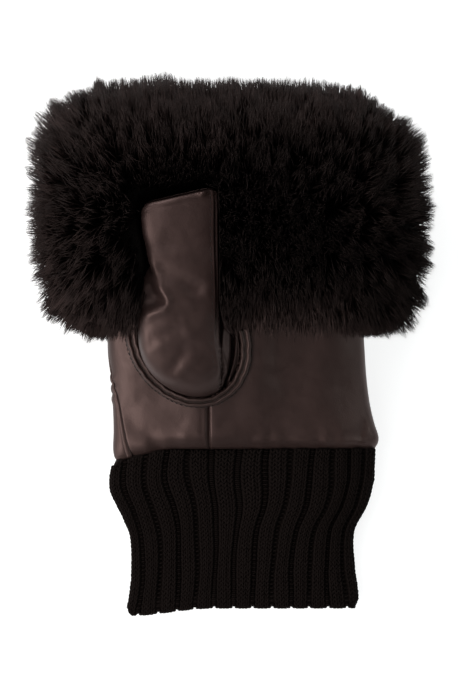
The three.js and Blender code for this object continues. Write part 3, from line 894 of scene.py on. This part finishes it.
shirr_x, shirr_y = [g.ravel() for g in np.meshgrid(np.arange(-41, 42, 1.75), SHIRRED)]
zigzag = np.where(np.arange(len(shirr_x)) % 2, 0.75, -0.75)
shirr_line = body_points(shirr_y, -angle_over(shirr_x, shirr_y), -0.1)

thumb_steps = np.linspace(2.6, 9.6, 30)
thumb_turn = np.radians(row_at(THUMB_SEAM, thumb_steps)["angle"])
beside_seam = thumb_points(thumb_steps, thumb_turn + 2.0 / THUMB_HALF, -0.02)
threads = [
    welt_stitches(1.8, 1.32, 1.5, 0.42),
    welt_stitches(3.7, 0.12, 1.4, 0.4),
    laid_stitches(shirr_line, xyz(1.0, zigzag, 0.0), -UP, 2.1, 0.45),
    laid_stitches(beside_seam, np.gradient(beside_seam, axis=0), UP, 1.1, 0.3),
]
joined_piece("stitches", grain_faces, np.concatenate(threads), thread)

# %% [markdown]
# ## The knit cuff
# Wool rib is made of columns of small V stitches: knitted columns stand out as ribs and purled
# ones sink between them. A bump of V shapes looks printed on, because rib knit has real
# shadows. So each V is two small round-ended legs, laid on the ribbed surface, column by
# column. A ribbed wall behind them closes the gaps and gives the cuff its inside. The wool is
# nearly black and dull, with fibre fuzz in its colour and its bump.

# %% Cuff ring
CUFF = table("""
y centre half low high
-110.6 6 49.5 -0.5 15.2
-103 6.1 48.9 -0.5 14.9
-94 6 47.8 -0.5 14.6
-78 5.8 47.9 -0.5 14.8
-68 6.6 52.2 -0.5 16
-57 5.65 56.2 -0.5 17.8
-51 5.6 56.6 -0.4 18.3
-43.95 6.2 56.2 -0.3 18.8
""")
CUFF_SQUARE = 2.8
CUFF_DROP = 3.4
RIBS = 26
RIB_DEPTH = 1.4
KNIT = 3.4
SWAY = 0.0022  # how far a rib strays from its place, as a share of the way round
LEAN = 0.026  # how far the ribs lean right of the middle, where the glove lies a little twisted
CUFF_END, CUFF_TOP = CUFF["y"][0], CUFF["y"][-1]

STEPS_Y, STEPS_ROUND, STEPS_FINE = 61, 1040, 2881

ring_rows = row_at(CUFF, np.linspace(CUFF_END, CUFF_TOP, STEPS_Y)[:, None])
ring = ring_point(ring_rows, np.linspace(0, 2 * pi, STEPS_FINE), square=CUFF_SQUARE)
lengths = np.insert(np.hypot(*np.diff(ring)).cumsum(axis=1), 0, 0, axis=1)
even = np.arange(STEPS_ROUND + 1) / STEPS_ROUND
even_x, even_z = [
    np.array([np.interp(even * n[-1], n, line) for n, line in zip(lengths, lines)]) for lines in ring
]
ahead_x, ahead_z = [np.roll(g[:, :-1], -4, 1) - np.roll(g[:, :-1], 4, 1) for g in (even_x, even_z)]
ahead = np.hypot(ahead_x, ahead_z)
normal_x, normal_z = [np.append(g, g[:, :1], axis=1) for g in (ahead_z / ahead, -ahead_x / ahead)]
cuff_girth = float(lengths[:, -1].mean())
print("the cuff is", round(cuff_girth), "mm round, so its ribs are", round(cuff_girth / RIBS, 1), "mm apart")

# %% Cuff form
def cuff_points(share, y, out):
    """Points at a share of the way round the cuff, out from the ribs' crests."""
    share, y, out = np.broadcast_arrays(share, y, out)
    share = share + SWAY * np.sin(y / 7.5 + 40 * share) * np.sin(y / 17 + 13 * share)
    leaning = ease(share % 1.0, 0.02, 0.12) * (1 - ease(share % 1.0, 0.19, 0.33))
    share = share - LEAN * leaning * ease(y, CUFF_END + 3, CUFF_TOP - 12)
    row = np.clip((y - CUFF_END) / (CUFF_TOP - CUFF_END), 0, 1) * (STEPS_Y - 1)
    column = (share % 1.0) * STEPS_ROUND
    i = np.minimum(row.astype(int), STEPS_Y - 2)
    j = np.minimum(column.astype(int), STEPS_ROUND - 1)
    a, b = row - i, column - j

    def sample(grid):
        low = between(grid[i, j], grid[i, j + 1], b)
        return between(low, between(grid[i + 1, j], grid[i + 1, j + 1], b), a)

    x = sample(even_x) + sample(normal_x) * out
    z = sample(even_z) + sample(normal_z) * out
    at_hem = np.clip((y - CUFF_END) / (HEM_Y - CUFF_END), 0, 1)
    end_drop = CUFF_DROP * (1 - ease(x, -44, -6))
    hem_drop = HEM_DROP * (1 - ease(x, -52, -22))
    x = x - 0.7 * (1 - ease(y, CUFF_END, CUFF_END + 9)) * ease(-x, 34, 41)
    near_edge = 1 - ease(y, CUFF_END, CUFF_END + 4)
    x = x - 1.6 * ease(x, 50, 55) * near_edge + 1.2 * ease(-x, 40, 44) * near_edge
    round_off = 2.2 * ease(-x, 40.4, 43.4) * near_edge
    tucked_in = 1.6 * ease(-x, 45.5, 49) * ease(y, CUFF_TOP - 5, CUFF_TOP)
    y = y - between(end_drop, hem_drop, at_hem) + round_off - tucked_in
    return xyz(x, y, np.maximum(z, 0))


def rib_relief(share, y):
    """How far the wall lies below the crests: grooves that run out at the edge."""
    from_groove = np.abs((share * RIBS + 0.5) % 1.0 - 0.5)
    depth = RIB_DEPTH * between(0.3, 1.0, ease(y, CUFF_END + 1.5, CUFF_END + 7.5))
    return -depth * (1 - ease(from_groove, 0.04, 0.3))

# %% Cuff wall
COURSE = 1.75  # height of a stitch
WALES = (0.27, 0.5, 0.73)  # knitted columns across a rib
LEG_APART = 0.47
LEG_TILT = radians(21)


def wall_points(u, v):
    """The ribbed wall behind the stitches. Its top is tucked inside the leather."""
    y = between(CUFF_END + 0.6, CUFF_TOP + 3.0, v)
    tuck = 2.2 * ease(y, HEM_Y - 0.3, HEM_Y + 1.2)
    return cuff_points(u, y, rib_relief(u, y) - 0.85 - tuck)


wall = sheet_grid(RIBS * 10, 26, wall_points)
bmesh.ops.remove_doubles(wall, verts=wall.verts[:], dist=0.01 * MM)
give_wall(wall, KNIT - 1.5)

# %% Knitted stitches
courses = np.arange(CUFF_END + 1.1, CUFF_TOP - 0.4, COURSE)
leg, leg_faces = grain_of_rice(5, 2)
chance = np.random.default_rng(7)


def on_courses(columns):
    """A share and a y for every column on every course."""
    return [grid.ravel()[:, None] for grid in np.meshgrid(columns, courses)]


def stitch_places(columns, side):
    """Points of all the legs that lean to one side."""
    share, y = on_courses(columns)
    loose = chance.normal(0, 1, (4, len(share), 1))
    across, along = leg[:, 0] * 0.52, leg[:, 2] * (1.4 + 0.06 * loose[0])
    tilt = side * (LEG_TILT + 0.05 * loose[1])
    u = across * np.cos(tilt) + along * np.sin(tilt) + side * LEG_APART
    v = along * np.cos(tilt) - across * np.sin(tilt) + 0.07 * loose[2]
    crown = rib_relief(share, y) - 0.42 + leg[:, 1] * 0.5 + 0.05 * loose[3]
    crown = crown - 0.22 * (np.abs((share * RIBS) % 1.0 - 0.5) > 0.1)
    return cuff_points(share + u / cuff_girth, y + v, crown)


knit_columns = np.array([(rib + wale) / RIBS for rib in range(RIBS) for wale in WALES])
legs = np.concatenate([stitch_places(knit_columns, side) for side in (-1, 1)])

# Purls fill the grooves, and every other groove has them half a course apart
purl_share, purl_y = on_courses(np.arange(RIBS * 2) / RIBS / 2)
purl_share = np.round(purl_share * RIBS) / RIBS
purls = cuff_points(
    purl_share + leg[:, 2] * 1.1 / cuff_girth,
    purl_y + leg[:, 0] * 0.42 + COURSE / 2 * (np.arange(len(purl_y)) % 2)[:, None],
    rib_relief(purl_share, purl_y) - 0.16 + leg[:, 1] * 0.46,
)

edge_share = (np.arange(RIBS * 6) / (RIBS * 6))[:, None]
from_nick = np.abs((edge_share * RIBS + 0.5) % 1.0 - 0.5)
edge_wave = 1.1 * bell(from_nick, 0.12) - 0.35
cast_off = cuff_points(
    edge_share + leg[:, 2] * 1.05 / cuff_girth,
    CUFF_END + 0.4 + edge_wave + leg[:, 0] * 0.62,
    rib_relief(edge_share, CUFF_END) - 0.5 + leg[:, 1] * 0.62,
)

# %% Wool finish and the cuff's pieces
wool, tree, shader, at = new_material("rib_wool")
fibre = use_group(tree, fuzz, {"Vector": at, "Fibres per metre": 2600.0})["Height"]
tone = use_group(tree, drift, {"Vector": at, "Patches per metre": 40.0, "Strength": 0.6})["Tone"]
colours = [(0.35, (0.0019, 0.0014, 0.0013)), (0.75, (0.0052, 0.0039, 0.0036))]
link(tree, scaled(tree, ramp(tree, fibre, colours), tone), shader["Base Color"])
rough = maths(tree, "ADD", maths(tree, "MULTIPLY", fibre, 0.2), 0.72)
link(tree, rough, shader["Roughness"])
bumped(tree, shader, fibre, 0.8, 0.25)
mirror(shader, 0.11, (1.0, 0.72, 0.66))

finish_piece("cuff_wall", wall, wool, ["knit_cuff"])
joined_piece("cuff_stitches", leg_faces, legs, wool, ["knit_cuff"])
small = np.concatenate([purls, cast_off])
joined_piece("cuff_purls", leg_faces, small, wool, ["knit_cuff"])

# %% [markdown]
# ## The fur
# The band is a strip of real pelt with hair about 33 mm long that stands out all round, fans
# over the leather at one edge and past the finger opening at the other. Blender's hair
# curves would render well, but they leave no mesh for a stranger to use. So each hair here
# is a thin three-sided blade, gathered in locks. Under them lies a dark undercoat, a closed
# shell, so that nothing shows through.

# %% How hair grows
FUR_FROM, FUR_TO = 28.0, 81.0
FAN_LOW, FAN_HIGH = -80.0, 84.0
HAIR, HAIR_SKEW = 33.5, 2.0
FLOOR_REACH = 20.5
HAIR_SHARE = table("""
y share
-80 0.74
-64 0.93
-46 1.05
-15 1
20 1
44 1.14
64 1.04
84 0.97
""")


def hair_at(angle, fan):
    """Root, direction and length of hair that fans by degrees from straight out."""
    share = (fan - FAN_LOW) / (FAN_HIGH - FAN_LOW)
    y = between(FUR_FROM, FUR_TO, share)
    row = row_at(BODY, y)
    x, z = ring_point(row, angle)
    out_x, out_z = np.cos(angle) / row["half"], np.sin(angle) / halfway(row, "low", "high")[1]
    size = np.hypot(out_x, out_z)
    lean = np.radians(fan)
    along = xyz(out_x / size * np.cos(lean), np.sin(lean), out_z / size * np.cos(lean))
    length = (HAIR - HAIR_SKEW * np.cos(angle)) * row_at(HAIR_SHARE, fan)["share"]
    return xyz(x, y, z), along, length


def fullness(angle, fan):
    """How much longer than usual the hair is: more at the sides and their corners."""
    side = ease(np.abs(np.cos(angle)), 0.6, 0.95)
    right = ease(np.cos(angle), 0.7, 0.97)
    left = ease(-np.cos(angle), 0.7, 0.97)
    low_corner = bell(fan + 50, 14) * (0.05 * left + 0.14 * right)
    low_left = -0.045 * left * (1 - ease(fan, -10, 4))
    high_left = 0.09 * left * bell(fan - 34, 13)
    high_right = -0.125 * right * bell(fan - 61, 13)
    top = (-0.02 - 0.07 * side) * ease(fan, 56, 74)
    corners = low_corner + low_left + high_left + high_right
    return 1 + 0.03 * side + 0.03 * right + corners + top


MID_BAND = np.array((2.0, 54.0, 20.0))  # the middle of the band, low down


def under_share(angle):
    """1 where the fur is pressed flat under the glove, 0 elsewhere."""
    return ease(-np.sin(angle), 0.2, 0.95)


# Angles that are evenly spread round the middle of the hair, and round its roots
turns = np.linspace(0, 2 * pi, 2001)


def even_shares(reach):
    """Share of the way round at which each angle comes, at a share of the hair."""
    root, along, length = hair_at(turns, 0.0)
    steps = np.linalg.norm(np.diff(root + along * length[:, None] * reach, axis=0), axis=1)
    return np.insert(np.cumsum(steps), 0, 0) / steps.sum()


mid_shares, root_shares = even_shares(0.5), even_shares(0.0)


def even_angle(share, fan=0.0):
    """An angle: straight hair is spread round its middle, and fanned hair round its roots."""
    fanned = np.sin(np.radians(fan)) ** 2 * np.where(np.asarray(fan) < 0, 0.4, 1.0)
    by_middle, by_root = [np.interp(share, s, turns) for s in (mid_shares, root_shares)]
    return between(by_middle, by_root, fanned)


def thumb_sides(y):
    """Left and right of the thumb at each place along it."""
    rows = row_at(THUMB, np.linspace(0, 10, 60))
    return [np.interp(y, halfway(rows, "back_y", "front_y")[0], rows[s]) for s in ("left", "right")]


def thumb_end(x):
    """Where the slanted end of the thumb lies."""
    return 63.4 + 0.215 * (x + 21.5)


def beside_thumb(points, margin):
    """Points over the thumb, pushed out to its nearer side."""
    x, y, z = np.moveaxis(points, -1, 0)
    left, right = thumb_sides(y)
    left = left + 3.4 * bell(y - 23, 8)
    over = (x > left - margin) & (x < right + margin) & (y < thumb_end(x) + margin) & (z > 40)
    nearer = np.where(x - left < right - x, left - margin, right + margin)
    return xyz(np.where(over, nearer, x), y, z)


def kept_out(points, lift):
    """Points kept over the floor, and over the palm where they lie on it."""
    x, y, z = np.moveaxis(points, -1, 0)
    across = across_hand(x, np.clip(y, -50, FUR_FROM))
    on_palm = (y < FUR_FROM + 4) & (np.abs(across) < 1) & (z > MID_Z)
    over = np.maximum(z, palm_top(x, np.maximum(y, -50)) + lift)
    return xyz(x, y, np.maximum(np.where(on_palm, over, z), 0.3))

# %% Undercoat
def beside_coat(points):
    """The mass dips under the thumb instead of standing beside it."""
    x, y, z = np.moveaxis(points, -1, 0)
    left, right = thumb_sides(y)
    inside = ease(x, left - 3, left + 2) * (1 - ease(x, right - 2, right + 3))
    inside *= 1 - ease(y, thumb_end(x) - 1, thumb_end(x) + 6)
    return xyz(x, y, np.where(z > 46.0, between(z, 46.5, inside), z))


def undercoat_points(u, v):
    """The closed mass: out along the hair, and back along the skin."""
    fan = between(FAN_LOW, FAN_HIGH, np.clip(v / 0.8, 0, 1))
    angle = even_angle(u % 1.0)
    root, along, length = hair_at(angle, fan)
    upright = np.maximum(along[:, 2], 0)
    dense = between(0.78, 0.5, upright) * fullness(angle, fan)
    full = length * between(0.34, dense, ease(fan, -80, -48))
    depth = between(full, FLOOR_REACH - 2.9, under_share(angle))
    lumps = crumple(*(root + along * (30, 30, 0)).T, 4.5)
    outer = root + along * (depth + 2.0 * lumps)[:, None]
    back_y = between(FUR_TO + 8, FUR_FROM, np.clip((v - 0.84) / 0.16, 0, 1))
    x, z = ring_point(row_at(BODY, back_y), angle, -0.6)
    points = np.where((v > 0.82)[:, None], xyz(x, back_y, z), outer)
    return kept_out(beside_coat(points), 0.5)


coat = sheet_grid(200, 50, undercoat_points)
close_up(coat)

underfur, tree, shader, at = new_material("fur_undercoat")
fibre = use_group(tree, fuzz, {"Vector": at, "Fibres per metre": 1500.0})["Height"]
colours = [(0.3, (0.0012, 0.0008, 0.0007)), (0.8, (0.004, 0.0025, 0.0022))]
link(tree, ramp(tree, fibre, colours), shader["Base Color"])
bumped(tree, shader, fibre, 1.0, 0.6)
shader["Roughness"].default_value = 0.95
shader["Specular IOR Level"].default_value = 0.05
finish_piece("fur_undercoat", coat, underfur, ["fur_trim"])

# %% [markdown]
# ## The finish of the hair
# A guard hair is nearly black at its root, browner at its tip, and shines softly. The shader
# made for hair needs curves. So each vertex of a blade carries how far along the hair it
# stands, which a colour ramp turns into its colour, and a tone that it shares with its lock.
# The tone also holds painted shade: it is darker where hair stands up and round the thumb.

# %% Hair finish
hair, tree, shader, at = new_material("fur_hair")
along = add(tree, "Attribute", attribute_name="along")["Fac"]
tone = add(tree, "Attribute", attribute_name="tone")["Fac"]
colours = [
    (0.0, (0.0015, 0.001, 0.0009)),
    (0.45, (0.004, 0.0026, 0.0023)),
    (0.8, (0.0096, 0.0063, 0.0058)),
    (1.0, (0.0185, 0.0121, 0.0112)),
]
link(tree, scaled(tree, ramp(tree, along, colours), tone), shader["Base Color"])
patches = use_group(tree, drift, {"Vector": at, "Patches per metre": 60.0, "Strength": 0.4})
link(tree, maths(tree, "MULTIPLY", patches["Tone"], 0.42), shader["Roughness"])
mirror(shader, 0.14, (1.0, 0.74, 0.7))

# %% Locks
LOCKS, HAIRS_PER_LOCK = 2900, 24
KNOTS = np.array((0.3, 0.8, 1.0))  # places along a hair where its blade has a ring or its tip
RING_WIDTHS = (0.24, 0.21)  # half the width of the blade at its two rings

draw = np.random.default_rng(20)
lock_fan = between(FAN_LOW, FAN_HIGH, draw.random(LOCKS))
lock_angle = even_angle(draw.random(LOCKS), lock_fan)
kept = draw.random(LOCKS) > 0.5 * under_share(lock_angle)
lock_angle, lock_fan = lock_angle[kept], lock_fan[kept]
locks = len(lock_angle)
root, along, reach = hair_at(lock_angle, lock_fan)
wander = draw.normal(0, 1, (locks, 3))
reach *= fullness(lock_angle, lock_fan)
on_palm = ease(np.sin(lock_angle), 0.3, 0.8) * ease(-lock_fan, 40, 62)
reach *= 1.0 + (0.045 + 0.08 * on_palm) * draw.normal(0, 1, locks).clip(-2, 1)
lock_tip = root + unit(along + 0.09 * wander) * reach[:, None]

# %% Hairs of each lock
which = np.repeat(np.arange(locks), HAIRS_PER_LOCK)
hairs = len(which)
angle = lock_angle[which] + draw.normal(0, 2.6 / 60, hairs)
fan = np.clip(lock_fan[which] + draw.normal(0, 5.5, hairs), FAN_LOW, FAN_HIGH)
root, along, reach = hair_at(angle, fan)
reach *= 0.98 + 0.04 * draw.normal(0, 1, hairs).clip(-2.4, 1.1)
reach *= fullness(angle, fan)
fringe = ease(np.sin(angle), 0.3, 0.8) * ease(-fan, 34, 62)
longer = 0.16 + 0.12 * ease(root[:, 0], 10, 26)
reach *= 1 + fringe * (longer - 0.78 * draw.random(hairs) ** 0.8)
own_tip = root + unit(along + 0.08 * draw.normal(0, 1, (hairs, 3))) * reach[:, None]
at_sides = ease(np.abs(np.cos(angle)), 0.4, 0.85)
loose = between(0.3, 0.0, at_sides) * ease(fan, 50, 72) + 0.55 * fringe - 0.1 * at_sides
gather = (draw.uniform(0.5, 0.9, hairs) * (1 - loose))[:, None]
tip = between(own_tip, lock_tip[which], gather)
curl = 1.2 * wander[which] + 0.7 * draw.normal(0, 1, (hairs, 3))
under = under_share(angle)

# Hair that grows under the thumb lies flat up to the thumb's end and rises past it
x, y, z = root.T
left, right = thumb_sides(y)
beneath = (x > left - 0.5) & (x < right + 0.5) & (y < thumb_end(x) + 1) & (z > 30)
flat_run = np.maximum(thumb_end(x) + 1.5 - y, 0)
rise_angle = np.radians(draw.uniform(12, 80, hairs))
side_lean = draw.normal(0, 0.12, hairs)

paths = []
for knot in KNOTS:
    place = between(root, tip, knot) + (own_tip - tip) * knot * (1 - knot) * 1.6
    place = place + curl * sin(pi * knot) * 1.2
    place = place + (under * knot * 7)[:, None] * unit(place - MID_BAND) * np.array((1, 0.3, 0))
    past = np.maximum(knot * reach - flat_run, 0)
    run = np.minimum(knot * reach, flat_run) + past * np.cos(rise_angle)
    bent = root + xyz(past * side_lean, run, 1.2 + past * np.sin(rise_angle))
    paths.append(np.where(beneath[:, None], bent, place))
paths = np.stack(paths, axis=1)
paths = np.where(beneath[:, None, None], paths, beside_thumb(paths, 0.25))
paths = kept_out(paths, 0.7)

seen = ~(beneath & (flat_run > 0.75 * reach))
paths, angle, fringe, which = [part[seen] for part in (paths, angle, fringe, which)]
print("the band has", len(paths), "hairs")

# %% Blades
ray = unit(np.concatenate([paths[:, 1:2] - paths[:, :1], paths[:, 1:] - paths[:, :-1]], axis=1))
sideways = unit(np.cross(ray, np.array((0.31, 0.17, 0.93))))
outwards = np.cross(ray, sideways)
rings = []
for k, width in enumerate(RING_WIDTHS):
    for turn in 2 * pi * np.arange(3) / 3:
        offset = cos(turn) * sideways[:, k] + sin(turn) * outwards[:, k]
        rings.append(paths[:, k] + width * offset)
blades = np.stack([*rings, paths[:, -1]], axis=1)
sides = [[(j, (j + 1) % 3, 3 + (j + 1) % 3), (j, 3 + (j + 1) % 3, 3 + j)] for j in range(3)]
blade = np.array([(0, 2, 1), *sum(sides, []), (3, 4, 6), (4, 5, 6), (5, 3, 6)])
knot_of = np.repeat(KNOTS, (3, 3, 1))

# %% Tones and pieces of the fur
# Painted shade: hair that stands up from the palm is darker, for the shade deep in upright fur.
# The hair of the fringe over the leather is lighter and browner.
upright = np.clip(unit(paths[:, -1] - paths[:, 0])[:, 2], 0, 1)
lock_tones = draw.lognormal(0, 0.44, locks)
tones = (draw.lognormal(0, 0.3, len(blades)) * lock_tones[which]).clip(0.3, 2.8)
# Painted shade: upright hair is darkened; the fringe is made lighter
tones = tones * (1 - 0.75 * upright**1.5) * (1 + 1.3 * fringe)
# Painted shadow: the high hair round the thumb, more widely to its right, is darkened where the thumb shades
# it
x, y, z = paths[:, 1].T
left, right = thumb_sides(y)
from_sides = np.maximum(left - x, 0) / 20 + np.maximum(x - right - 38, 0) / 24
from_end = np.maximum(y - thumb_end(x), 0) / 18
painted_thumb_shade = 1 - ease(np.hypot(from_sides, from_end), 0.25, 1.0)
low_edge = 2 + 15 * ease(x, right + 2, right + 26)
painted_thumb_shade *= ease(y - low_edge, 0, 14) * (1 - 0.25 * ease(x, 10, 50))
tones = tones * (1 - 0.7 * painted_thumb_shade * (z > 34))

REGIONS = {  # angles round the hand between which each piece of the fur lies
    "fur_palm_side": (55, 125),
    "fur_little_finger_side": (305, 415),
    "fur_thumb_side": (125, 235),
    "fur_back_side": (235, 305),
}
for name, (first, last) in REGIONS.items():
    chosen = (np.degrees(angle) - first) % 360 < last - first
    values = {
        "along": np.tile(knot_of, int(chosen.sum())),
        "tone": np.repeat(tones[chosen], len(knot_of)),
    }
    joined_piece(name, blade, blades[chosen], hair, ["fur_trim"], values)
